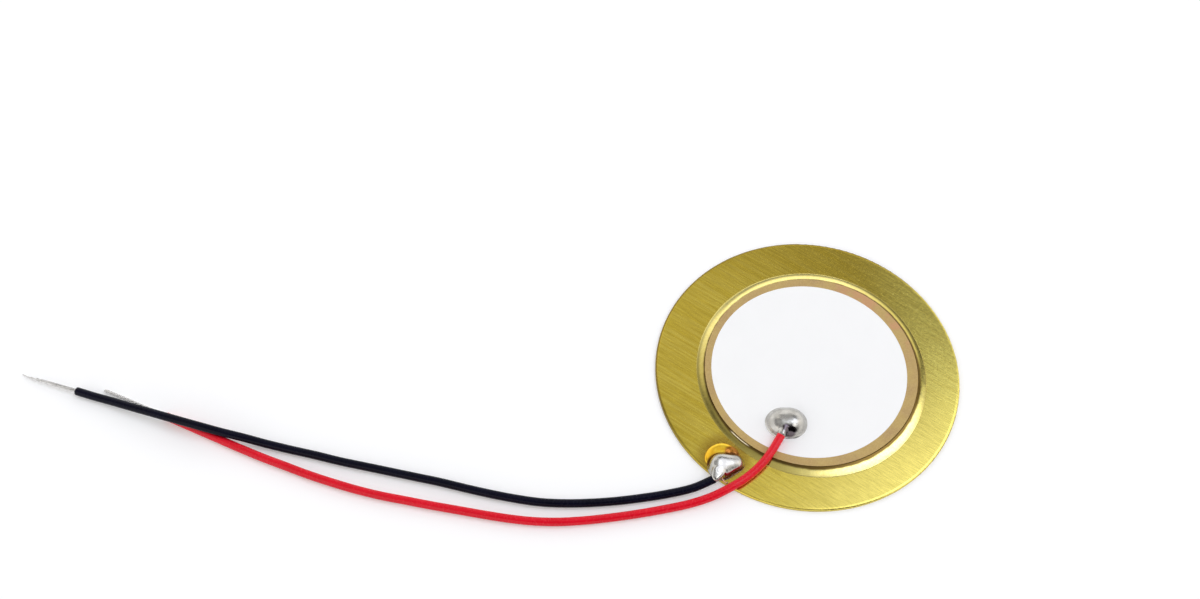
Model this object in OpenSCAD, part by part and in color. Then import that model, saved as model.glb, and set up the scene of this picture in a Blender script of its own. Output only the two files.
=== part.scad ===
// Piezo disc: a silvered ceramic disc bonded to a brass plate, with a red lead
// soldered to the silver and a black lead soldered to the brass.
// Millimetres, +Z up. The origin is the centre of the plate's underside.

/* [Plate] */
// Diameter of the brass plate
plate_d = 35; // [34:0.1:37]
// Thickness of the brass plate
plate_t = 0.3; // [0.27:0.01:0.33]
// Radius that the punch leaves on the plate's top edge
plate_edge_r = 0.12; // [0.05:0.01:0.13]

/* [Ceramic] */
// Diameter of the ceramic disc
ceramic_d = 24.5; // [23.5:0.1:25]
// Thickness of the bare ceramic
ceramic_t = 0.2; // [0.17:0.01:0.23]
// How far the ceramic was bonded off the plate's centre, along X
ceramic_shift = 0.45; // [0:0.05:0.6]
// Diameter of the silver printed on top of the ceramic
electrode_d = 22.5; // [21:0.1:23]
// How far the top silver is printed off the ceramic's centre, along X
electrode_shift = -0.25; // [-0.3:0.05:0.2]
// Thickness of the silver on each face of the ceramic
electrode_t = 0.02; // [0.01:0.005:0.03]

/* [Adhesive] */
// Thickness of the adhesive film between the plate and the ceramic
film_t = 0.02; // [0.01:0.005:0.03]
// Width of the bead squeezed out round the ceramic
bead_w = 0.95; // [0.6:0.05:1]
// How far the bead stops below the ceramic's top face
bead_drop = 0.04; // [0.02:0.01:0.08]

/* [Leads] */
// Outside diameter of a lead's insulation
lead_d = 0.95; // [0.85:0.01:1]
// Diameter of the conductor inside the insulation
core_d = 0.44; // [0.35:0.01:0.46]
// Diameter of the conductor where it is bare and tinned
tinned_d = 0.48; // [0.47:0.01:0.55]
// Length of the red lead's tinned end
red_tip_length = 8.4; // [5:0.1:9]
// Length of the black lead's tinned end
black_tip_length = 7; // [5:0.1:9]
// Length of conductor that each solder joint covers
stub_length = 2; // [1.5:0.1:2.2]

/* [Solder] */
// Width of the joint on the silver, across the lead
silver_joint_w = 3.8; // [3.2:0.1:4]
// How much longer than wide that joint is
silver_joint_stretch = 0.8; // [0.4:0.1:1]
// Height of the joint on the silver
silver_joint_h = 1.3; // [1.1:0.05:1.5]
// How far that joint's middle lies in from the silver's edge
silver_joint_inset = 3.7; // [2.5:0.1:5]
// Width of the broad end of the joint on the brass
plate_joint_w = 3; // [2.6:0.1:3]
// Width of the narrow end of that joint
plate_joint_end_w = 2; // [1.6:0.1:2.2]
// Height of the joint on the brass
plate_joint_h = 1.25; // [1.1:0.05:1.4]
// Height of its narrow end
plate_joint_end_h = 0.85; // [0.7:0.05:1]
// How far that joint's broad end lies in from the plate's rim
plate_joint_inset = 1.4; // [1.2:0.1:1.6]
// Width of the solder that climbs a lead, where it leaves the joint
wick_w = 1; // [0.95:0.05:1.3]
// Length of conductor that it climbs
wick_length = 1.2; // [0.8:0.1:1.4]
// Width of the flux that flowed out beside the joint on the brass
flux_w = 4; // [3.8:0.1:4.1]
// Thickness of the flux at its middle
flux_t = 0.35; // [0.3:0.05:0.5]
// How far solder and flux stay clear of the adhesive and of the insulation's outside
joint_gap = 0.03; // [0.02:0.01:0.08]

/* [Hidden] */
$fn = 96;

// Heights of the layers, from the plate's underside up
film_top = plate_t + film_t;
ceramic_bottom = film_top + electrode_t;
ceramic_top = ceramic_bottom + ceramic_t;
silver_top = ceramic_top + electrode_t;

// Directions in which the joints lie from the middle of the silver and of the plate
silver_joint_angle = 246.6;
plate_joint_angle = 230.4;

// Where the joints and the flux stand
silver_at = [ceramic_shift + electrode_shift, 0];
silver_joint_at = silver_at + (electrode_d / 2 - silver_joint_inset)
    * [cos(silver_joint_angle), sin(silver_joint_angle)];
plate_joint_at = (plate_d / 2 - plate_joint_inset)
    * [cos(plate_joint_angle), sin(plate_joint_angle)];
plate_joint_end_at = plate_joint_at + [1.5, 0.4];
flux_at = plate_joint_at + [0.15, 1];

// Facets round a solder joint or the flux, and the height that the space above
// a surface is taken to have
joint_facets = 32;
head_room = 5;

// Where each lead's insulation starts, from the middle of its joint and the
// surface that the joint stands on
red_start = [-0.7, -1.77, 0.09];
black_start = [-0.84, -1.64, 0.08];

// Route of each lead, from its joint to its stripped end: x, y, and how high
// its underside lies above the table
red_points = [
    [-3.5, -8.7, 0.65], [-4.6, -10.6, 0.6], [-5.8, -12.2, 0.5], [-7.4, -13.7, 0.36],
    [-9.3, -15, 0.34], [-11.6, -16.15, 0.14], [-14.2, -17, 0], [-17, -17.65, 0],
    [-19.8, -18.2, 0], [-22.6, -18.65, 0], [-25.4, -19, 0], [-28.2, -19.2, 0],
    [-31, -19.15, 0], [-33.8, -18.85, 0], [-36.6, -18.4, 0], [-39.4, -17.9, 0],
    [-42.2, -17.4, 0], [-45, -16.85, 0], [-47.8, -16.3, 0], [-50.6, -15.6, 0],
    [-53.4, -14.75, 0], [-56.2, -13.8, 0], [-58.8, -12.8, 0], [-61.4, -11.8, 0],
    [-64, -10.7, 0], [-66.6, -9.55, 0], [-69.2, -8.4, 0], [-71, -7.6, 0],
    [-72.8, -6.8, 0]
];
black_points = [
    [-11.1, -14.05, 0.38], [-13.5, -15.1, 0.2], [-16.2, -15.75, 0.05], [-19, -16.25, 0],
    [-21.8, -16.65, 0], [-24.6, -16.9, 0], [-27.4, -17, 0], [-30.2, -16.9, 0],
    [-33, -16.5, 0], [-35.8, -15.95, 0], [-38.6, -15.3, 0], [-41.4, -14.6, 0],
    [-44.2, -14, 0], [-47, -13.4, 0], [-49.8, -12.8, 0], [-52.6, -12.2, 0],
    [-55.4, -11.5, 0], [-58.2, -10.85, 0], [-61, -10.2, 0.1], [-63.6, -9.6, 0.4],
    [-66.2, -9.1, 0.8], [-68.8, -8.45, 1], [-71.4, -7.7, 1], [-74, -6.85, 0.8],
    [-76.6, -5.95, 0.45], [-79.2, -5.05, 0.15], [-81.6, -4.3, 0], [-83.5, -3.7, 0]
];

// Corners round a lead, how far its core runs on inside the tinned end, and how
// far past the insulation it turns towards its joint's middle
lead_sides = 8;
core_overlap = 0.5;
turn_in = 0.12;

// Number of points at a lead's start that shift with its joint
following = 10;

// A route whose first points shift, less and less, so that it starts at a given
// place, and that stays on or above the table
function led_from(start, points) =
    let (shift = start - points[0])
    [for (i = [0 : len(points) - 1])
        let (p = points[i] + shift * max(0, 1 - i / following))
        [p[0], p[1], max(0, p[2])]];

red_route = led_from([silver_joint_at[0], silver_joint_at[1], silver_top] + red_start, red_points);
black_route = led_from([plate_joint_at[0], plate_joint_at[1], plate_t] + black_start, black_points);

// The vector v at length 1
function unit(v) = v / norm(v);

// Centre line of a lead that follows a route
function centres(route) = [for (p = route) [p[0], p[1], p[2] + lead_d / 2]];

// Direction in which a lead leaves its solder joint
function start_heading(line) = unit(line[1] - line[0]);

// Level direction from a lead's start to the middle of its joint
function inward(line, joint) = unit([joint[0] - line[0][0], joint[1] - line[0][1], 0]);

// Direction of the tinned end, which drops until its far end lies on the table
function tip_heading(line, tip_length) =
    let (last = line[len(line) - 1],
         run = last - line[len(line) - 2],
         drop = last[2] - tinned_d / 2,
         level = unit([run[0], run[1], 0]))
    [level[0] * sqrt(tip_length ^ 2 - drop ^ 2),
     level[1] * sqrt(tip_length ^ 2 - drop ^ 2),
     -drop] / tip_length;

// Direction of the lead at point i of its centre line
function heading(line, i, tip) =
    i == 0 ? start_heading(line)
    : i == len(line) - 1 ? tip
    : unit(line[i + 1] - line[i - 1]);

// Corners of the lead's section of radius r round centre c, square to direction t
function ring(c, t, r) =
    let (side = unit(cross(t, [0, 0, 1])), up = cross(side, t))
    [for (k = [0 : lead_sides - 1])
        let (a = k * 360 / lead_sides - 90)
        c + r * cos(a) * side + r * sin(a) * up];

// Corners of every section along a lead, section by section
function rings(line, tip, r) =
    [for (i = [0 : len(line) - 1]) each ring(line[i], heading(line, i, tip), r)];

// Wall of triangles over n sections, the first corner being number f
function wall(n, f) =
    [for (i = [0 : n - 2], k = [0 : lead_sides - 1])
        let (a = f + i * lead_sides + k,
             b = f + i * lead_sides + (k + 1) % lead_sides)
        each [[a, b, b + lead_sides], [a, b + lead_sides, a + lead_sides]]];

// The same faces seen from their other side
function flipped(faces) = [for (face = faces) [for (k = [len(face) - 1 : -1 : 0]) face[k]]];

// Triangles that close a tube at the section whose outer and inner corners
// start at numbers o and i
function rim(o, i) =
    [for (k = [0 : lead_sides - 1])
        let (next = (k + 1) % lead_sides)
        each [[o + k, i + k, i + next], [o + k, i + next, o + next]]];

// A face over the section whose corners start at number f
function cap(f) = [[for (k = [0 : lead_sides - 1]) f + k]];

// A tube with its bore, along a centre line
module tube(line, tip, outer_r, inner_r) {
    n = len(line);
    bore = n * lead_sides;
    last = (n - 1) * lead_sides;
    polyhedron(
        points = concat(rings(line, tip, outer_r), rings(line, tip, inner_r)),
        faces = concat(wall(n, 0), flipped(wall(n, bore)),
                       rim(0, bore), flipped(rim(last, bore + last))));
}

// Corners of the two sections of a conductor that lie in its joint
function buried(line, joint) =
    let (ahead = start_heading(line),
         towards = inward(line, joint),
         turn = line[0] - turn_in * ahead)
    concat(ring(turn + (stub_length - turn_in) * towards, -towards, core_d / 2),
           ring(turn, unit(ahead - towards), core_d / 2));

// A solid rod through sections, given by their corners
module rod(corners) {
    n = len(corners) / lead_sides;
    polyhedron(
        points = corners,
        faces = concat(wall(n, 0), flipped(cap(0)), cap((n - 1) * lead_sides)));
}

// Stands the children, drawn along +Z, at a point and turns them to a direction
module along(at, direction) {
    translate(at)
        rotate([0, acos(direction[2] / norm(direction)), atan2(direction[1], direction[0])])
            children();
}

module insulation(route, tip_length) {
    line = centres(route);
    tube(line, tip_heading(line, tip_length), lead_d / 2, core_d / 2);
}

module conductor(route, tip_length, joint) {
    line = centres(route);
    last = line[len(line) - 1];
    tip = tip_heading(line, tip_length);
    rod(concat(buried(line, joint), rings(line, tip, core_d / 2),
               ring(last + core_overlap * tip, tip, core_d / 2)));
    along(last, tip) cylinder(d = tinned_d, h = tip_length);
}

// A drop of solder on the surface z = 0: a ball, cut there to this width and height
module drop(w, h) {
    ball_r = ((w / 2) ^ 2 + h ^ 2) / (2 * h);
    translate([0, 0, h - ball_r]) sphere(r = ball_r, $fn = joint_facets);
}

// A shallow round mound on the surface z = 0
module mound(w, h) {
    steps = 5;
    rotate_extrude($fn = joint_facets)
        polygon(concat(
            [[0, 0]],
            [for (s = [0 : steps]) [w / 2 * cos(s * 90 / steps), h * sin(s * 90 / steps)]]));
}

// Everything above height z within radius r of the plate's centre
module above(z, r) {
    translate([0, 0, z]) cylinder(r = r, h = head_room);
}

// Room for a lead's conductor, and for all that lies past the face where its
// insulation starts
module lead_room(route, joint) {
    line = centres(route);
    ahead = start_heading(line);
    rod(concat(buried(line, joint), ring(line[0] + core_overlap * ahead, ahead, core_d / 2)));
    along(line[0], ahead) cylinder(r = head_room, h = head_room);
}

// Room for the ceramic and its bead of adhesive
module bonded_room() {
    translate([ceramic_shift, 0, plate_t])
        cylinder(d = ceramic_d + 2 * (bead_w + joint_gap), h = head_room);
}

// Solder that climbed the conductor up to the insulation
module wick(route, joint) {
    line = centres(route);
    ahead = start_heading(line);
    hull() {
        along(line[0] + joint_gap * ahead, -ahead)
            cylinder(d = lead_d - 2 * joint_gap, h = 2 * joint_gap, $fn = joint_facets);
        translate(line[0] + wick_length * inward(line, joint))
            sphere(d = wick_w, $fn = joint_facets);
    }
}

module brass_plate() {
    r = plate_d / 2;
    color("#b9a444")
        rotate_extrude() {
            square([r - plate_edge_r, plate_t]);
            square([r, plate_t - plate_edge_r]);
            translate([r - plate_edge_r, plate_t - plate_edge_r]) circle(r = plate_edge_r);
        }
}

module adhesive_bond() {
    r = ceramic_d / 2;
    bead_h = ceramic_top - bead_drop - plate_t;
    steps = 6;
    color("#d9cf86")
        translate([ceramic_shift, 0, plate_t])
            rotate_extrude()
                polygon(concat(
                    [[0, 0], [r + bead_w, 0]],
                    [for (s = [1 : steps]) [r + bead_w * (1 - s / steps), bead_h * (s / steps) ^ 2]],
                    [[r, film_t], [0, film_t]]));
}

module back_electrode() {
    color("#dcdcd6")
        translate([ceramic_shift, 0, film_top]) cylinder(d = ceramic_d, h = electrode_t);
}

module ceramic_disc() {
    color("#bfa06c")
        translate([ceramic_shift, 0, ceramic_bottom]) cylinder(d = ceramic_d, h = ceramic_t);
}

module top_electrode() {
    color("#f2f2ee")
        translate([silver_at[0], silver_at[1], ceramic_top])
            cylinder(d = electrode_d, h = electrode_t);
}

module silver_joint() {
    color("#b4b4ae")
        difference() {
            intersection() {
                union() {
                    hull()
                        for (side = [-1, 1])
                            translate([silver_joint_at[0] + side * silver_joint_stretch / 2,
                                       silver_joint_at[1], silver_top])
                                drop(silver_joint_w, silver_joint_h);
                    wick(red_route, silver_joint_at);
                }
                above(silver_top, plate_d / 2);
            }
            lead_room(red_route, silver_joint_at);
        }
}

// The ground that the joint on the brass stands on, as a block
module plate_joint_foot() {
    hull() {
        translate(plate_joint_at) cylinder(d = plate_joint_w, h = head_room, $fn = joint_facets);
        translate(plate_joint_end_at) cylinder(d = plate_joint_end_w, h = head_room, $fn = joint_facets);
    }
}

// Shape of the joint on the brass, with the lead's room still filled
module plate_drop() {
    hull() {
        translate([plate_joint_at[0], plate_joint_at[1], plate_t])
            drop(plate_joint_w, plate_joint_h);
        translate([plate_joint_end_at[0], plate_joint_end_at[1], plate_t])
            drop(plate_joint_end_w, plate_joint_end_h);
    }
}

module plate_joint() {
    color("#c4c4be")
        difference() {
            union() {
                intersection() {
                    plate_drop();
                    above(plate_t, plate_d / 2 - plate_edge_r);
                }
                intersection() {
                    wick(black_route, plate_joint_at);
                    above(plate_t, plate_d);
                }
            }
            lead_room(black_route, plate_joint_at);
            bonded_room();
        }
}

module flux_residue() {
    color("#d79a1e")
        difference() {
            intersection() {
                translate([flux_at[0], flux_at[1], plate_t]) mound(flux_w, flux_t);
                above(plate_t, plate_d / 2 - plate_edge_r);
            }
            plate_joint_foot();
            bonded_room();
        }
}

module red_insulation() {
    color("#d8182c") insulation(red_route, red_tip_length);
}

module red_conductor() {
    color("#b8b8b4") conductor(red_route, red_tip_length, silver_joint_at);
}

module black_insulation() {
    color("#14141c") insulation(black_route, black_tip_length);
}

module black_conductor() {
    color("#b8b8b4") conductor(black_route, black_tip_length, plate_joint_at);
}

brass_plate();
adhesive_bond();
back_electrode();
ceramic_disc();
top_electrode();
silver_joint();
plate_joint();
flux_residue();
red_insulation();
red_conductor();
black_insulation();
black_conductor();
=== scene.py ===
"""Looks of the piezo disc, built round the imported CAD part.

Shapes are worked out in mm, as in the CAD, and mesh_object turns them into metres.
"""
import math

import bmesh
import bpy
from mathutils import Matrix, Vector, noise


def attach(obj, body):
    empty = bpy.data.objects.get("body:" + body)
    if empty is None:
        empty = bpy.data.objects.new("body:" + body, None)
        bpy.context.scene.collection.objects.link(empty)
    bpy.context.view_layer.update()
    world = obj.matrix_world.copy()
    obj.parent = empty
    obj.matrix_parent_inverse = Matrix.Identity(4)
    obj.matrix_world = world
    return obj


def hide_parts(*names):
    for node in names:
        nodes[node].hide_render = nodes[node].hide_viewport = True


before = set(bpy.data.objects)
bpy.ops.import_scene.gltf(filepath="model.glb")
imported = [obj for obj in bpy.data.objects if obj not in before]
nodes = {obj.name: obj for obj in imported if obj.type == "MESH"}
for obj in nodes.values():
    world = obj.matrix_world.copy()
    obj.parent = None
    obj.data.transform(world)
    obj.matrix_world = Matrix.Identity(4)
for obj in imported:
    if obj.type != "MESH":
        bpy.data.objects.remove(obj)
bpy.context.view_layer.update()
MM = 0.001

# ---------------------------------------------------------------- camera

CAMERA_AT = Vector((-0.02395, -0.08726, 0.15854))  # metres
CAMERA_DOWN = 1.0228678  # radians below the horizon, looking along +Y
CAMERA_ROLL = 0.0097927  # radians
CAMERA_LENS, CAMERA_SENSOR = 46.98, 36  # mm
CAMERA_NEAR = 0.002  # metres


def add_camera():
    """The photograph's camera, which looks down on the disc from its front left."""
    down, roll = CAMERA_DOWN, CAMERA_ROLL
    ahead = Vector((0, math.cos(down), -math.sin(down)))
    up = Vector((0, math.sin(down), math.cos(down)))
    side = Vector((1, 0, 0))
    x_axis = math.cos(roll) * side + math.sin(roll) * up
    y_axis = math.cos(roll) * up - math.sin(roll) * side
    data = bpy.data.cameras.new("camera")
    data.lens = CAMERA_LENS
    data.sensor_width = CAMERA_SENSOR
    data.clip_start = CAMERA_NEAR
    camera = bpy.data.objects.new("camera", data)
    bpy.context.scene.collection.objects.link(camera)
    turn = Matrix((x_axis, y_axis, -ahead)).transposed().to_4x4()
    camera.matrix_world = Matrix.Translation(CAMERA_AT) @ turn
    bpy.context.scene.camera = camera


add_camera()

# ---------------------------------------------------------------- sizes, in mm, as in the CAD

PLATE_R, PLATE_TOP, PLATE_EDGE_R = 17.5, 0.3, 0.12
FLAT_R = PLATE_R - PLATE_EDGE_R
CERAMIC_R, CERAMIC_X = 12.25, 0.45
FILM_TOP = 0.32
BEAD_W, BEAD_TOP = 0.95, 0.52
SILVER_TOP = 0.56

LEAD_R = 0.475
STRAND_R = 0.08
TINNED_R = 3 * STRAND_R
BORE_R = TINNED_R + 0.01
RED_TIP, BLACK_TIP = 8.4, 7.0
# Length of the conductor in a joint, and how far past the insulation it turns to the middle
STUB, TURN_IN = 2.0, 0.12

SILVER_JOINT, SILVER_DROP_W, SILVER_DROP_H = (-2.8, -6.95), 3.72, 1.28
PLATE_JOINT, PLATE_DROP_W, PLATE_DROP_H = (-10.26, -12.41), 3, 1.25

SUNK = 0.004  # how far a piece goes into the one that it stands on

# Each lead's route from its joint to its stripped end: x, y, and its underside's height
RED_ROUTE = [
    (-3.5, -8.7, 0.65), (-4.6, -10.6, 0.6), (-5.8, -12.2, 0.5), (-7.4, -13.7, 0.36),
    (-9.3, -15, 0.34), (-11.6, -16.15, 0.14), (-14.2, -17, 0), (-17, -17.65, 0),
    (-19.8, -18.2, 0), (-22.6, -18.65, 0), (-25.4, -19, 0), (-28.2, -19.2, 0),
    (-31, -19.15, 0), (-33.8, -18.85, 0), (-36.6, -18.4, 0), (-39.4, -17.9, 0),
    (-42.2, -17.4, 0), (-45, -16.85, 0), (-47.8, -16.3, 0), (-50.6, -15.6, 0),
    (-53.4, -14.75, 0), (-56.2, -13.8, 0), (-58.8, -12.8, 0), (-61.4, -11.8, 0),
    (-64, -10.7, 0), (-66.6, -9.55, 0), (-69.2, -8.4, 0), (-71, -7.6, 0),
    (-72.8, -6.8, 0),
]
BLACK_ROUTE = [
    (-11.1, -14.05, 0.38), (-13.5, -15.1, 0.2), (-16.2, -15.75, 0.05), (-19, -16.25, 0),
    (-21.8, -16.65, 0), (-24.6, -16.9, 0), (-27.4, -17, 0), (-30.2, -16.9, 0),
    (-33, -16.5, 0), (-35.8, -15.95, 0), (-38.6, -15.3, 0), (-41.4, -14.6, 0),
    (-44.2, -14, 0), (-47, -13.4, 0), (-49.8, -12.8, 0), (-52.6, -12.2, 0),
    (-55.4, -11.5, 0), (-58.2, -10.85, 0), (-61, -10.2, 0.1), (-63.6, -9.6, 0.4),
    (-66.2, -9.1, 0.8), (-68.8, -8.45, 1), (-71.4, -7.7, 1), (-74, -6.85, 0.8),
    (-76.6, -5.95, 0.45), (-79.2, -5.05, 0.15), (-81.6, -4.3, 0), (-83.5, -3.7, 0),
]

# ---------------------------------------------------------------- mesh helpers


def mesh_object(name, bm):
    """Makes a smooth object, in metres, of a bmesh built in mm."""
    bmesh.ops.recalc_face_normals(bm, faces=bm.faces)
    bmesh.ops.scale(bm, vec=(MM, MM, MM), verts=bm.verts)
    mesh = bpy.data.meshes.new(name)
    bm.to_mesh(mesh)
    bm.free()
    mesh.polygons.foreach_set("use_smooth", [True] * len(mesh.polygons))
    piece = bpy.data.objects.new(name, mesh)
    bpy.context.scene.collection.objects.link(piece)
    return piece


def skin(bm, rings, closed=False):
    """Faces between rings of corners; closed joins the last ring to the first, else caps both."""
    rows = [[bm.verts.new(p) for p in ring] for ring in rings]
    count = len(rows[0])
    pairs = list(zip(rows, rows[1:])) + ([(rows[-1], rows[0])] if closed else [])
    for low, high in pairs:
        for k in range(count):
            after = (k + 1) % count
            bm.faces.new((low[k], low[after], high[after], high[k]))
    if not closed:
        bm.faces.new(rows[0][::-1])
        bm.faces.new(rows[-1])


def wrap(bm, first, last, rows):
    """Faces between rows that run from one corner to another, the last row next to the first."""
    for here, after in zip(rows, rows[1:] + rows[:1]):
        bm.faces.new((first, here[0], after[0]))
        bm.faces.new((last, after[-1], here[-1]))
        for k in range(len(here) - 1):
            bm.faces.new((here[k], here[k + 1], after[k + 1], after[k]))


def turned_way(turn, turns):
    """The level direction at one of a number of equal turns round Z."""
    angle = 2 * math.pi * turn / turns
    return Vector((math.cos(angle), math.sin(angle), 0))


def smooth_line(points, step):
    """Points about a step apart on a smooth curve through the given ones."""
    points = [Vector(p) for p in points]
    ends = [2 * points[0] - points[1]] + points + [2 * points[-1] - points[-2]]
    line = []
    for a, b, c, d in zip(ends, ends[1:], ends[2:], ends[3:]):
        parts = max(1, round((c - b).length / step))
        for i in range(parts):
            t = i / parts
            line.append(0.5 * (2 * b + (c - a) * t + (2 * a - 5 * b + 4 * c - d) * t ** 2
                               + (3 * b - a - 3 * c + d) * t ** 3))
    line.append(points[-1])
    return line


def across(line):
    """For each point of a line, its direction and two directions square to it, one level."""
    frames = []
    for i in range(len(line)):
        ahead = (line[min(i + 1, len(line) - 1)] - line[max(i - 1, 0)]).normalized()
        level = ahead.cross(Vector((0, 0, 1))).normalized()
        frames.append((ahead, level, level.cross(ahead)))
    return frames


def circle(centre, frame_here, radius, sides, ragged=0.0, seed=0.0):
    """Corners round a point; ragged moves each along the line by up to that much."""
    ahead, level, up = frame_here
    ring = []
    for k in range(sides):
        angle = 2 * math.pi * k / sides
        out = math.cos(angle) * level + math.sin(angle) * up
        slip = ragged * noise.noise(Vector((3 * math.cos(angle), 3 * math.sin(angle), seed)))
        ring.append(centre + radius * out + slip * ahead)
    return ring


# ---------------------------------------------------------------- leads


def centre_line(route, step):
    """Points about a step apart along the middle of a lead, none lower than on the table."""
    line = smooth_line([(x, y, under + LEAD_R) for x, y, under in route], step)
    return [Vector((p.x, p.y, max(p.z, LEAD_R))) for p in line]


def tip_direction(route, length):
    """The tinned end drops until its far end lies on the table."""
    run = Vector(route[-1]) - Vector(route[-2])
    drop = route[-1][2] + LEAD_R - TINNED_R
    level = Vector((run.x, run.y, 0)).normalized() * math.sqrt(length ** 2 - drop ** 2)
    return (level - Vector((0, 0, drop))) / length


def inward(route, joint):
    """The level direction from a lead's start to the middle of its joint."""
    return Vector((joint[0] - route[0][0], joint[1] - route[0][1], 0)).normalized()


def insulation(name, route, tip_length, seed):
    """A lead's jacket: a tube, cut square at the joint and stripped raggedly at its far end."""
    line = centre_line(route, 0.4)
    frames = across(line)
    last = tip_direction(route, tip_length)
    level = last.cross(Vector((0, 0, 1))).normalized()
    frames[-1] = (last, level, level.cross(last))
    sides, chamfer, ragged, swelling = 24, 0.05, 0.06, 0.012
    outer, inner = [], []
    for i, (point, here) in enumerate(zip(line, frames)):
        swell = 1 + swelling * noise.noise(Vector((i * 0.11, seed, 0)))
        outer.append(circle(point, here, min(LEAD_R, LEAD_R * swell), sides))
        inner.append(circle(point, here, BORE_R, sides))
    first_in = circle(line[0], frames[0], LEAD_R - chamfer, sides)
    last_in = circle(line[-1], frames[-1], LEAD_R - chamfer, sides, ragged, seed)
    outer[0] = circle(line[0] + chamfer * frames[0][0], frames[0], LEAD_R, sides)
    outer[-1] = circle(line[-1] - chamfer * last, frames[-1], LEAD_R, sides)
    bm = bmesh.new()
    skin(bm, [first_in] + outer + [last_in] + inner[::-1], closed=True)
    piece = mesh_object(name, bm)
    return piece, [p * MM for p in line]


def strands(name, route, joint, tip_length, shorter, close=0.1, stray=None):
    """Seven tinned strands, six twisted round one, from inside the joint to the far end.

    Each stops short of the tip by its own length. Towards the tip they draw in by the share
    close of their distance from the middle. A stray strand follows points of its own.
    """
    inside = centre_line(route, 0.5)
    start = (inside[1] - inside[0]).normalized()
    turn = inside[0] - start * TURN_IN
    end = turn + inward(route, joint) * (STUB - TURN_IN)
    tip = tip_direction(route, tip_length)
    tip_step, pitch, taper, thinner, sway_by, sides = 0.14, 3.1, 4.5, 0.1, 0.012, 8
    steps = round(tip_length / tip_step)
    line = [end.lerp(turn, i / 4) for i in range(5)] + inside
    line += [inside[-1] + tip * (tip_length * (i + 1) / steps) for i in range(steps)]
    run = [0.0]
    for a, b in zip(line, line[1:]):
        run.append(run[-1] + (b - a).length)
    frames = across(line)
    bm = bmesh.new()
    for k in range(7):
        end = run[-1] - shorter[k]
        rings = []
        for i, (point, here) in enumerate(zip(line, frames)):
            if run[i] > end:
                break
            closing = max(0.0, 1 - (run[-1] - run[i]) / taper)
            reach = 0.0 if k == 6 else 2 * STRAND_R * (1.03 - close * closing)
            angle = 2 * math.pi * (k / 6 + run[i] / pitch)
            sway = sway_by * noise.noise(Vector((run[i] * 0.6, k * 7.3, 1.7)))
            out = math.cos(angle) * here[1] + math.sin(angle) * here[2]
            centre = point + (reach + sway) * out
            rings.append(circle(centre, here, STRAND_R * (1 - thinner * closing), sides))
        skin(bm, rings)
    if stray:
        line = smooth_line(stray, 0.06)
        skin(bm, [circle(p, f, STRAND_R, sides) for p, f in zip(line, across(line))])
    return mesh_object(name, bm)


STRAY_STRAND = [(-10.5, -13.4, 0.6), (-10.28, -13.85, 0.6), (-10.05, -14.2, 0.5),
                (-9.8, -14.35, 0.42), (-9.62, -14.2, 0.39)]

red_lead, red_path = insulation("red_jacket", RED_ROUTE, RED_TIP, seed=2.0)
black_lead, black_path = insulation("black_jacket", BLACK_ROUTE, BLACK_TIP, seed=9.0)
red_strands = strands("red_strands", RED_ROUTE, SILVER_JOINT, RED_TIP,
                      (0.1, 0.0, 0.22, 0.08, 0.3, 0.05, 0.02))
black_strands = strands("black_strands", BLACK_ROUTE, PLATE_JOINT, BLACK_TIP,
                        (0.0, 2.4, 1.1, 3.2, 1.7, 2.8, 0.5), close=0.5, stray=STRAY_STRAND)

for lead, wires, node, core, path in (
        (red_lead, red_strands, "red_insulation", "red_conductor", red_path),
        (black_lead, black_strands, "black_insulation", "black_conductor", black_path)):
    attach(lead, "root")
    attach(wires, "root")
    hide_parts(node)
    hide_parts(core)

# ---------------------------------------------------------------- solder


def solder_core(balls, route, joint, neck_growth):
    """One closed mesh round the balls of a drop and the neck that holds its lead."""
    neck_r, neck_end_r, neck_step, neck_balls, past_face = 0.49, 0.42, 0.2, 5, 0.08
    voxel = 0.05
    start = Vector(route[0]) + Vector((0, 0, LEAD_R))
    ahead = (Vector(route[1]) - Vector(route[0])).normalized()
    neck = [(start - ahead * TURN_IN + inward(route, joint) * neck_step * i,
             neck_r + neck_growth * i) for i in range(neck_balls)]
    bm = bmesh.new()
    for centre, radius in balls + neck:
        bmesh.ops.create_uvsphere(bm, u_segments=40, v_segments=20, radius=radius,
                                  matrix=Matrix.Translation(centre))
    length = TURN_IN + past_face
    turn = (-ahead).to_track_quat("Z", "Y").to_matrix().to_4x4()
    bmesh.ops.create_cone(
        bm, cap_ends=True, segments=32, radius1=neck_end_r, radius2=neck_r, depth=length,
        matrix=Matrix.Translation(start - ahead * (length / 2 - past_face)) @ turn)
    rough = bpy.data.meshes.new("rough")
    bm.to_mesh(rough)
    bm.free()
    thing = bpy.data.objects.new("rough", rough)
    bpy.context.scene.collection.objects.link(thing)
    remesh = thing.modifiers.new("remesh", "REMESH")
    remesh.mode = "VOXEL"
    remesh.voxel_size = voxel
    bpy.context.view_layer.update()
    shaped = bpy.data.meshes.new_from_object(
        thing.evaluated_get(bpy.context.evaluated_depsgraph_get()))
    bpy.data.objects.remove(thing)
    return shaped


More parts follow.
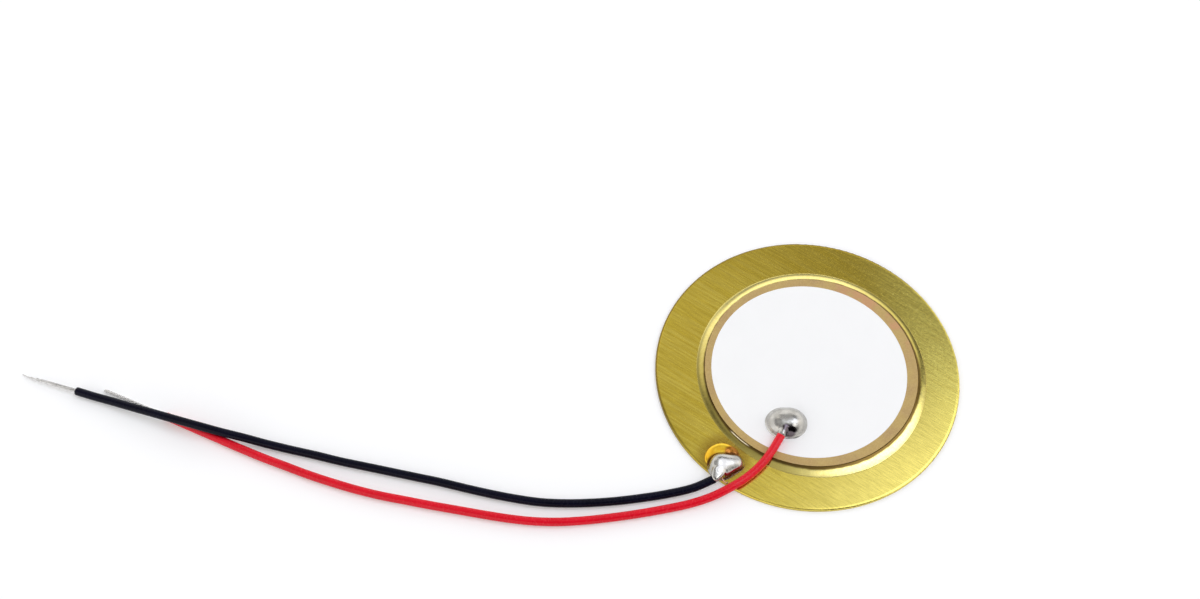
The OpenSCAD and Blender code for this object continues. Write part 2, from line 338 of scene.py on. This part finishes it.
def solder(name, balls, route, joint, base, height, neck_growth, flatter, lean, seed, rim=None):
    """A drop of solder over one or more balls, flattened, leaning and lumpy, on a surface."""
    shaped = solder_core(balls, route, joint, neck_growth)
    middle = sum((c for c, _ in balls), Vector()) / len(balls)
    smoothings, lean_x, lean_y, over_top = 26, 0.74, -0.67, 0.4
    lump_h, lump_waves, grain_h, grain_waves, swelling = 0.045, 0.7, 0.008, 2.4, 0.015
    bm = bmesh.new()
    bm.from_mesh(shaped)
    for _ in range(smoothings):
        bmesh.ops.smooth_vert(bm, verts=bm.verts, factor=0.5,
                              use_axis_x=True, use_axis_y=True, use_axis_z=True)
    for v in bm.verts:
        rise = (v.co.z - base) / height
        if rise > 0:
            below = max(0.0, 1 - rise)
            v.co.z = base + height * (1 - below ** flatter + over_top * max(0.0, rise - 1))
            v.co.z -= lean * (1 - below) * (lean_x * (v.co.x - middle.x)
                                            + lean_y * (v.co.y - middle.y))
    bm.normal_update()
    for v in bm.verts:
        lump = lump_h * noise.noise(v.co * lump_waves + Vector((seed, 0, 0)))
        lump += grain_h * noise.noise(v.co * grain_waves + Vector((0, seed, 0)))
        v.co += v.normal * (lump + swelling)
    whole = list(bm.verts) + list(bm.edges) + list(bm.faces)
    bmesh.ops.bisect_plane(bm, geom=whole, dist=1e-5, plane_co=(0, 0, base),
                           plane_no=(0, 0, 1), clear_inner=True)
    toe_h, toe_w, toe_from, rim_slope = 0.28, 0.1, 0.5, 8
    for v in bm.verts:
        rise = (v.co.z - base) / toe_h
        flat = Vector((v.co.x - middle.x, v.co.y - middle.y, 0))
        if rise < 1 and flat.length > toe_from:
            v.co += flat.normalized() * toe_w * (1 - rise) ** 2
        if rim:
            reach = rim + rim_slope * (v.co.z - base)
            v.co.xy *= min(1.0, reach / v.co.xy.length)
    bmesh.ops.holes_fill(bm, edges=[e for e in bm.edges if e.is_boundary], sides=0)
    return mesh_object(name, bm)


def ball(width, height, x, y, base):
    """The ball that shows as a drop of this width and height on a surface."""
    radius = ((width / 2) ** 2 + height ** 2) / (2 * height)
    return Vector((x, y, base + height - radius)), radius


silver_drop = solder(
    "silver_drop",
    [ball(SILVER_DROP_W, SILVER_DROP_H, SILVER_JOINT[0] + aside, SILVER_JOINT[1], SILVER_TOP)
     for aside in (-0.42, 0, 0.42)],
    RED_ROUTE, SILVER_JOINT, SILVER_TOP, SILVER_DROP_H,
    neck_growth=0.02, flatter=1.15, lean=0.0, seed=4.0)
# This one is drawn out to the right, so it is a row of balls that shrink
plate_drop = solder(
    "plate_drop",
    [ball(PLATE_DROP_W - t, PLATE_DROP_H - 0.4 * t, -10.26 + 1.5 * t, -12.4 + 0.4 * t, PLATE_TOP)
     for t in (0, 0.25, 0.5, 0.75, 1)],
    BLACK_ROUTE, PLATE_JOINT, PLATE_TOP, PLATE_DROP_H,
    neck_growth=0.07, flatter=1.6, lean=0.24, seed=11.0, rim=FLAT_R)

# ---------------------------------------------------------------- adhesive and flux


def adhesive():
    """The film under the ceramic and the clear bead that rises to its edge, one turned solid."""
    turns, steps, gap_beside, gap_under = 288, 12, 0.004, 0.001
    fuller_way, fuller_by = Vector((0.42, -0.91, 0)), 0.42
    inner, film = CERAMIC_R + gap_beside, FILM_TOP - gap_under
    bm = bmesh.new()
    low = bm.verts.new((CERAMIC_X, 0, PLATE_TOP - SUNK))
    high = bm.verts.new((CERAMIC_X, 0, film))
    rows = []
    for i in range(turns):
        along = turned_way(i, turns)
        fuller = max(0.0, along.dot(fuller_way)) ** 2
        width = BEAD_W * (1 + fuller_by * fuller + 0.06 * noise.noise(along * 1.6)
                          + 0.02 * noise.noise(along * 7))
        top = BEAD_TOP + 0.01 * noise.noise(along * 3 + Vector((0, 5, 0)))
        section = [(CERAMIC_R + width, PLATE_TOP - SUNK)]
        for step in range(steps + 1):
            t = step / steps
            section.append((inner + width * (1 - t),
                            PLATE_TOP + (top - PLATE_TOP) * (0.3 * t + 0.7 * t ** 2.2)))
        section.append((inner, film))
        rows.append([bm.verts.new((CERAMIC_X + r * along.x, r * along.y, z))
                     for r, z in section])
    wrap(bm, low, high, rows)
    return mesh_object("adhesive", bm)


FLUX_AT, FLUX_R, FLUX_MIDDLE_H = Vector((-10.1, -11.4, 0)), 2.0, 0.22
# Beads in the flux: x, y, radius and height
FLUX_BEADS = [(-9.5, -10.65, 0.42, 0.26), (-8.7, -10.85, 0.36, 0.22), (-9.0, -10.4, 0.25, 0.12)]


def flux():
    """A low amber mound round the back of the joint, with beads in it."""
    turns, steps, mound_h, rim_h = 96, 26, 0.3, 0.05
    bm = bmesh.new()
    rows = []
    for i in range(turns):
        along = turned_way(i, turns)
        edge = FLUX_R * (1 + 0.07 * noise.noise(along * 1.7 + Vector((0, 8, 0))))
        row = []
        for step in range(1, steps + 1):
            spot = FLUX_AT + along * edge * step / steps
            t = step / steps
            height = mound_h * math.sqrt(max(0.0, 1 - t ** 2.6)) * (0.75 + 0.5 * t)
            for x, y, radius, rise in FLUX_BEADS:
                near = 1 - ((spot.x - x) ** 2 + (spot.y - y) ** 2) / radius ** 2
                if near > 0:
                    height += rise * math.sqrt(near) * min(1.0, 3 * (1 - t))
            if spot.length > FLAT_R:
                spot *= FLAT_R / spot.length
                height = min(height, rim_h)
            row.append(bm.verts.new((spot.x, spot.y, PLATE_TOP + height)))
        row.append(bm.verts.new((row[-1].co.x, row[-1].co.y, PLATE_TOP - SUNK)))
        rows.append(row)
    top = bm.verts.new((FLUX_AT.x, FLUX_AT.y, PLATE_TOP + FLUX_MIDDLE_H))
    low = bm.verts.new((FLUX_AT.x, FLUX_AT.y, PLATE_TOP - SUNK))
    wrap(bm, top, low, rows)
    return mesh_object("flux", bm)


adhesive_bead = adhesive()
flux_pool = flux()
for piece, node, slot in ((silver_drop, "silver_joint", "solder"),
                          (plate_drop, "plate_joint", "solder"),
                          (adhesive_bead, "adhesive_bond", "adhesive"),
                          (flux_pool, "flux_residue", "flux")):
    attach(piece, "root")
    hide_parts(node)

# ---------------------------------------------------------------- materials


class Shade:
    """A material or world, whose nodes are added with one call each. Its places are in mm."""

    def __init__(self, owner):
        owner.use_nodes = True
        self.owner = owner
        self.tree = owner.node_tree
        self.tree.nodes.clear()

    def node(self, kind, inputs=None, out=0, **settings):
        """Adds a node and gives its output, or the node itself where out is None."""
        made = self.tree.nodes.new("ShaderNode" + kind)
        for key, value in settings.items():
            setattr(made, key, value)
        for key, value in (inputs or {}).items():
            socket = made.inputs[key]
            if isinstance(value, bpy.types.NodeSocket):
                self.tree.links.new(value, socket)
            else:
                wide = socket.type == "RGBA" and len(value) == 3
                socket.default_value = (*value, 1) if wide else value
        return made.outputs[out] if out is not None else made

    def math(self, operation, a, b=0.0):
        return self.node("Math", {0: a, 1: b}, operation=operation)

    def place(self, scale=(1, 1, 1), turn=0.0):
        """The place on the object in mm, turned about Z and then scaled."""
        here = self.node("TexCoord", out="Object")
        size = tuple(s / MM for s in scale)
        turned = self.node("Mapping", {"Vector": here, "Rotation": (0, 0, turn)})
        return self.node("Mapping", {"Vector": turned, "Scale": size})

    def level(self, at):
        """A place with its height taken out."""
        return self.node("VectorMath", {0: at, 1: (1, 1, 0)}, operation="MULTIPLY")

    def length(self, at):
        return self.node("VectorMath", {0: at}, out="Value", operation="LENGTH")

    def along(self, at, way):
        """How far a place lies in a direction."""
        return self.node("VectorMath", {0: at, 1: way}, out="Value", operation="DOT_PRODUCT")

    def noise(self, at, scale=1.0, detail=2.0, rough=0.5):
        return self.node("TexNoise", {"Vector": at, "Scale": scale, "Detail": detail,
                                      "Roughness": rough})

    def fade(self, value, low, high, to_low=0.0, to_high=1.0):
        """A smooth step: to_low up to low, to_high from high on."""
        return self.node("MapRange", {"Value": value, "From Min": low, "From Max": high,
                                      "To Min": to_low, "To Max": to_high},
                         interpolation_type="SMOOTHSTEP")

    def mix(self, factor, a, b):
        return self.node("Mix", {0: factor, 6: a, 7: b}, out=2, data_type="RGBA")

    def bump(self, height, depth_mm, normal=None):
        inputs = {"Height": height, "Distance": depth_mm * MM, "Strength": 1.0}
        if normal:
            inputs["Normal"] = normal
        return self.node("Bump", inputs)

    def near(self, point, inner, outer):
        """1 within the inner distance of a point, in mm, falling to 0 at the outer."""
        gap = self.node("VectorMath", {0: self.place(), 1: point}, out="Value",
                        operation="DISTANCE")
        return self.fade(gap, inner, outer, 1.0, 0.0)

    def surface(self, **inputs):
        names = {key.replace("_", " "): value for key, value in inputs.items()}
        bsdf = self.node("BsdfPrincipled", names)
        self.node("OutputMaterial", {"Surface": bsdf}, out=None)
        return self.owner


def new_shade(name):
    return Shade(bpy.data.materials.new(name))


def brass():
    """Brass with its grain at a slant, stained at the flux, painted light at the right and shade
    at the back.
    """
    s = new_shade("brushed_brass")
    grain = math.radians(34)
    fine = s.noise(s.place((0.7, 7, 1), grain), detail=4, rough=0.7)
    broad = s.noise(s.place((0.1, 4.5, 1), grain), detail=3)
    hair = s.noise(s.place((0.3, 15, 1), grain + 0.02), detail=2)
    cloud = s.noise(s.place(), scale=0.13, detail=2)
    speck = s.noise(s.place(), scale=3.2, detail=3, rough=0.7)
    tone = s.mix(s.fade(cloud, 0.35, 0.65), (0.74, 0.56, 0.068), (0.69, 0.51, 0.06))
    tone = s.mix(s.fade(fine, 0.3, 0.7, 0.0, 0.75), tone, (0.52, 0.385, 0.045))
    tone = s.mix(s.fade(broad, 0.35, 0.7, 0.0, 0.4), tone, (0.88, 0.72, 0.17))
    tone = s.mix(s.fade(hair, 0.4, 0.75, 0.0, 0.45), tone, (0.5, 0.37, 0.045))

    flat = s.level(s.place())
    out = s.length(flat)
    # Painted light and shade by side: paler towards the front right, painted shade towards the
    # back, and a painted highlight to the right
    pale = s.mix(s.fade(fine, 0.3, 0.7), (0.76, 0.64, 0.165), (0.57, 0.475, 0.115))
    painted_shade_olive = s.mix(s.fade(hair, 0.35, 0.7), (0.62, 0.44, 0.055), (0.4, 0.27, 0.028))
    painted_highlight = s.mix(s.fade(hair, 0.35, 0.7), (1.0, 0.88, 0.22), (0.72, 0.58, 0.11))
    tone = s.mix(s.fade(s.along(flat, (0.9, -0.43, 0)), -4, 13, 0.0, 0.85), tone, pale)
    tone = s.mix(s.fade(s.along(flat, (0.2, 0.98, 0)), 6, 16, 0.0, 0.4), tone, painted_shade_olive)
    tone = s.mix(s.fade(s.along(flat, (0.97, 0.26, 0)), 10, 16, 0.0, 0.6), tone, painted_highlight)

    # The cut edge is darkened only at the back: partly its rough sheared edge, partly painted
    # shade
    at_back = s.fade(s.along(flat, (-0.6, 0.8, 0)), -4, 6, 0.0, 0.85)
    cut_edge_and_shade = s.math("MULTIPLY", s.fade(out, FLAT_R - 0.18, FLAT_R), at_back)
    tone = s.mix(cut_edge_and_shade, tone, (0.16, 0.1, 0.015))
    stain = s.math("MULTIPLY", s.near((-9.9, -11.2, PLATE_TOP), 2.0, 3.7),
                   s.fade(speck, 0.2, 0.7, 0.5, 1.0))
    height = s.node("SeparateXYZ", {0: s.place()}, out=2)
    top_side = s.fade(height, PLATE_TOP - 0.1, PLATE_TOP - 0.02, 0.0, 0.8)
    tone = s.mix(s.math("MULTIPLY", stain, top_side), tone, (0.3, 0.16, 0.02))

    scratches = s.math("ADD", s.math("ADD", fine, s.math("MULTIPLY", hair, 0.5)),
                       s.math("MULTIPLY", broad, 0.25))
    # Bumps bend the flat plate's shading as if it were slightly dished and its rim rolled over far
    # more steeply
    dish_by, rim_w, rim_by = -0.0014, 0.35, 380.0
    rolled = s.math("MAXIMUM", s.math("SUBTRACT", out, PLATE_R - rim_w), 0.0)
    rolled = s.math("MULTIPLY", s.math("MULTIPLY", rolled, rolled), rim_by)
    dished = s.bump(s.math("ADD", s.math("MULTIPLY", out, out), rolled), dish_by)
    uneven = s.fade(speck, 0.25, 0.75, 0.19, 0.28)
    return s.surface(Base_Color=tone, Metallic=1.0, Roughness=uneven,
                     Normal=s.bump(scratches, 0.005, dished))


def ceramic():
    """Tan, matt and mottled, with a blush on the margin at the back right."""
    s = new_shade("fired_ceramic")
    patch = s.noise(s.place(), scale=0.45, detail=3)
    grain = s.noise(s.place(), scale=6, detail=3, rough=0.7)
    blush = s.math("MULTIPLY", s.near((8.5, 7.5, 0.5), 3.0, 8.0), s.fade(patch, 0.42, 0.6))
    tone = s.mix(s.fade(patch, 0.35, 0.7), (0.49, 0.33, 0.1), (0.425, 0.268, 0.102))
    tone = s.mix(s.fade(grain, 0.35, 0.7, 0.0, 0.45), tone, (0.62, 0.465, 0.195))
    tone = s.mix(s.math("MULTIPLY", blush, 0.6), tone, (0.62, 0.3, 0.15))
    return s.surface(Base_Color=tone, Roughness=0.55, Normal=s.bump(grain, 0.004))


def silver():
    """Silver paste, fired matt and nearly white."""
    s = new_shade("fired_silver")
    grain = s.noise(s.place(), scale=11, detail=3, rough=0.7)
    cloud = s.noise(s.place(), scale=0.3, detail=3)
    tone = s.mix(s.fade(cloud, 0.3, 0.75), (0.955, 0.955, 0.95), (0.94, 0.94, 0.935))
    rough = s.fade(grain, 0.3, 0.7, 0.48, 0.66)
    return s.surface(Base_Color=tone, Metallic=0.0, Roughness=rough, Normal=s.bump(grain, 0.002))


def solder_metal():
    """Frosted solder, with a dark reflection painted on it by the red lead, where it is also
    smoother.
    """
    s = new_shade("solder")
    frost = s.noise(s.place(), scale=1.1, detail=4, rough=0.6)
    grain = s.noise(s.place(), scale=14, detail=2)
    tone = s.mix(s.fade(frost, 0.35, 0.65), (0.52, 0.505, 0.47), (0.42, 0.405, 0.375))
    rough = s.fade(frost, 0.4, 0.65, 0.2, 0.33)
    # A painted dark reflection in the drop beside the red lead; the solder is smoother there too
    painted_reflection = s.math("MAXIMUM", s.near((-2.6, -8.35, 1.2), 0.55, 1.0),
                    s.near((-2.95, -8.05, 1.6), 0.35, 0.6))
    rough = s.math("SUBTRACT", rough, s.math("MULTIPLY", painted_reflection, 0.14))
    tone = s.mix(s.math("MULTIPLY", painted_reflection, 0.9), tone, (0.07, 0.05, 0.065))
    return s.surface(Base_Color=tone, Metallic=1.0, Roughness=rough,
                     Normal=s.bump(grain, 0.002))


def clear_adhesive():
    """Clear resin on brass: it shows the brass, with painted shade at the ceramic and a painted
    glint.
    """
    s = new_shade("clear_adhesive")
    wave = s.noise(s.place(), scale=0.9, detail=2)
    haze = s.noise(s.place(), scale=4, detail=3)
    flat = s.level(s.node("VectorMath", {0: s.place(), 1: (CERAMIC_X, 0, 0)},
                          operation="SUBTRACT"))
    out = s.length(flat)
    # A band of painted shade and dark reflection round the ceramic's edge, widest at the front,
    # narrowest at the back left
    toward_back_left = s.along(flat, (-0.45, 0.89, 0))
    shade_edge = s.math("ADD", CERAMIC_R + 0.24, s.math("MULTIPLY", toward_back_left, -0.015))
    shade_edge = s.math("ADD", shade_edge, s.fade(wave, 0.3, 0.7, -0.03, 0.03))
    dark = s.fade(s.math("SUBTRACT", out, shade_edge), -0.13, 0.13, 1.0, 0.0)
    # Painted shade on the bead: olive at the front left, brown at the right
    shade_front_left = s.fade(s.along(flat, (-0.82, -0.57, 0)), 5.0, 11.5, 0.0, 0.85)
    right = s.fade(s.along(flat, (0.96, 0.28, 0)), 7.0, 12.0, 0.0, 0.8)
    tone = s.mix(s.fade(haze, 0.3, 0.7), (0.93, 0.8, 0.3), (0.88, 0.74, 0.24))
    tone = s.mix(shade_front_left, tone, (0.36, 0.28, 0.05))
    tone = s.mix(right, tone, (0.5, 0.4, 0.075))
    tone = s.mix(dark, tone, (0.13, 0.075, 0.011))

    # A painted glint: a pale, non-metal streak on the bead at the front left, just off the ceramic
    off_glint = s.math("ABSOLUTE", s.math("SUBTRACT", out, CERAMIC_R + 0.16))
    painted_glint = s.math("MULTIPLY", s.fade(off_glint, 0.03, 0.08, 1.0, 0.0),
                  s.near((-8.08, -8.86, 0.45), 0.9, 1.6))
    tone = s.mix(painted_glint, tone, (0.9, 0.78, 0.52))
    return s.surface(Base_Color=tone, Metallic=s.math("SUBTRACT", 1.0, painted_glint),
                     Roughness=s.fade(haze, 0.3, 0.7, 0.12, 0.2),
                     Coat_Weight=0.25, Coat_Roughness=0.04, Coat_IOR=1.5,
                     Normal=s.bump(wave, 0.01))


def amber_flux():
    """Clear amber, burnt brown round the solder and in its beads, each with a glint."""
    s = new_shade("amber_flux")
    burnt = s.noise(s.place(), scale=1.2, detail=3)
    edge = s.math("MAXIMUM", s.near((-10.26, -12.4, 0.4), 1.6, 1.85),
                  s.near((-9.1, -12.1, 0.4), 1.25, 1.6))
    beads = s.near((-9.05, -10.7, 0.5), 0.7, 1.05)
    glint = s.math("MAXIMUM", s.near((-9.5, -10.65, 0.75), 0.12, 0.34),
                   s.near((-8.7, -10.85, 0.7), 0.1, 0.3))
    tone = s.mix(s.fade(burnt, 0.35, 0.65), (0.98, 0.66, 0.05), (0.85, 0.47, 0.02))
    tone = s.mix(beads, tone, (0.33, 0.12, 0.006))
    tone = s.mix(glint, tone, (0.85, 0.33, 0.06))
    tone = s.mix(edge, tone, (0.13, 0.045, 0.004))
    return s.surface(Base_Color=tone, Metallic=0.6, Roughness=0.16, Specular_IOR_Level=0.3,
                     Normal=s.bump(burnt, 0.01))


def pvc(name, tone, dark, rough, gleam):
    """A lead's half glossy plastic."""
    s = new_shade(name)
    cloud = s.noise(s.place(), scale=0.35, detail=3)
    grain = s.noise(s.place(), scale=4, detail=2)
    mixed = s.mix(s.fade(cloud, 0.3, 0.7), tone, dark)
    uneven = s.fade(grain, 0.3, 0.7, rough - 0.05, rough + 0.08)
    return s.surface(Base_Color=mixed, Roughness=uneven, Specular_IOR_Level=gleam,
                     Normal=s.bump(grain, 0.0015))


def tinned(name, pale, dark):
    """Tinned wire, with bare copper at the stray strand."""
    s = new_shade(name)
    grain = s.noise(s.place(), scale=5, detail=3)
    tone = s.mix(s.fade(grain, 0.35, 0.7), pale, dark)
    copper = s.near((-10.2, -14.1, 0.45), 0.45, 0.75)
    tone = s.mix(copper, tone, (0.6, 0.32, 0.22))
    return s.surface(Base_Color=tone, Metallic=1.0, Roughness=s.fade(grain, 0.3, 0.7, 0.2, 0.34),
                     Normal=s.bump(grain, 0.008))


def dress(material, *pieces):
    """Gives pieces a material in place of their own."""
    for piece in pieces:
        piece.data.materials.clear()
        piece.data.materials.append(material)


dress(brass(), nodes["brass_plate"])
dress(ceramic(), nodes["ceramic_disc"])
dress(silver(), nodes["top_electrode"], nodes["back_electrode"])
dress(solder_metal(), silver_drop, plate_drop)
dress(clear_adhesive(), adhesive_bead)
dress(amber_flux(), flux_pool)
dress(pvc("red_pvc", (0.74, 0.004, 0.02), (0.68, 0.003, 0.016), 0.22, 0.26), red_lead)
dress(pvc("black_pvc", (0.003, 0.003, 0.012), (0.002, 0.002, 0.008), 0.24, 0.11), black_lead)
# One tinned wire in two copies: the red lead's strands are painted lighter and the black's darker,
# as painted light and shade
dress(tinned("tinned_painted_light", (0.95, 0.94, 0.93), (0.8, 0.79, 0.77)), red_strands)
dress(tinned("tinned_painted_shade", (0.74, 0.73, 0.72), (0.52, 0.51, 0.5)), black_strands)

# ---------------------------------------------------------------- floor and light


def add_floor():
    """A white table just under the object, which keeps its shadow; sizes in metres."""
    half, under, paint, lift = 3.0, -0.00002, 0.8, 0.24
    mesh = bpy.data.meshes.new("floor")
    mesh.from_pydata([(-half, -half, under), (half, -half, under), (half, half, under),
                      (-half, half, under)], [], [(0, 1, 2, 3)])
    floor = bpy.data.objects.new("floor", mesh)
    bpy.context.scene.collection.objects.link(floor)
    s = new_shade("floor")
    path = s.node("LightPath", out=None)
    seen = s.math("MAXIMUM", path.outputs["Is Camera Ray"],
                  s.math("MAXIMUM", path.outputs["Is Glossy Ray"],
                         path.outputs["Is Transmission Ray"]))
    matt = s.node("BsdfDiffuse", {"Color": (paint, paint, paint)})
    glow = s.node("Emission", {"Color": (1, 1, 1), "Strength": s.math("MULTIPLY", seen, lift)})
    s.node("OutputMaterial", {"Surface": s.node("AddShader", {0: matt, 1: glow})}, out=None)
    dress(s.owner, floor)


# The backdrop up to a height in degrees, and the sky from another height on
BACKDROP, BACKDROP_TO = (1.36, 1.36, 1.36), 32
SKY, SKY_FROM = (0.2, 0.2, 0.21), 46
# Round parts of the sky: azimuth from +X and height, both in degrees, the angles within which
# a part is full and past which it is gone, and its strength and tint
SKY_PARTS = [
    (122, 48, 8, 18, 1.2, (1.02, 1.0, 0.96)),
    (232, 38, 8, 20, 1.7, (1.04, 1.0, 0.95)),
    (8, 36, 8, 20, 1.7, (1.04, 1.0, 0.95)),
    (180, 66, 8, 22, 0.6, (1, 1, 1)),
    (30, 76, 12, 24, 0.85, (0.98, 1.0, 1.02)),
    (18, 63, 7, 21, 2.9, (0.94, 0.985, 1.12)),
    (92, 58, 5, 14, 0.7, (1, 1, 1)),
    (309, 35, 19, 27, 0.02, (1.0, 0.8, 1.0)),
    (280, 40, 12, 20, 0.02, (1.0, 0.8, 1.0)),
    (258, 51, 6, 12, 0.02, (1.0, 0.8, 1.0)),
    (330, 54, 6, 12, 3.4, (1, 1, 1)),
]


def direction(azimuth, height):
    """The direction at an azimuth from +X and a height, both in degrees."""
    a, h = math.radians(azimuth), math.radians(height)
    return (math.cos(a) * math.cos(h), math.sin(a) * math.cos(h), math.sin(h))


def add_sky():
    """Studio light: a pale backdrop, a dimmer sky, soft lamps and the dark behind the camera."""
    world = bpy.data.worlds.new("studio")
    bpy.context.scene.world = world
    s = Shade(world)
    here = s.node("TexCoord", out="Generated")
    height = s.node("SeparateXYZ", {0: here}, out=2)
    low, high = (math.sin(math.radians(angle)) for angle in (BACKDROP_TO, SKY_FROM))
    sky = s.mix(s.fade(height, low, high), BACKDROP, SKY)
    for azimuth, up, inner, outer, strength, tint in SKY_PARTS:
        facing = s.along(here, direction(azimuth, up))
        inside = s.fade(facing, math.cos(math.radians(outer)), math.cos(math.radians(inner)))
        sky = s.mix(inside, sky, tuple(strength * c for c in tint))
    back = s.node("Background", {"Color": sky, "Strength": 1.0})
    s.node("OutputWorld", {"Surface": back}, out=None)


add_floor()
add_sky()
bpy.context.scene.view_settings.view_transform = "Standard"
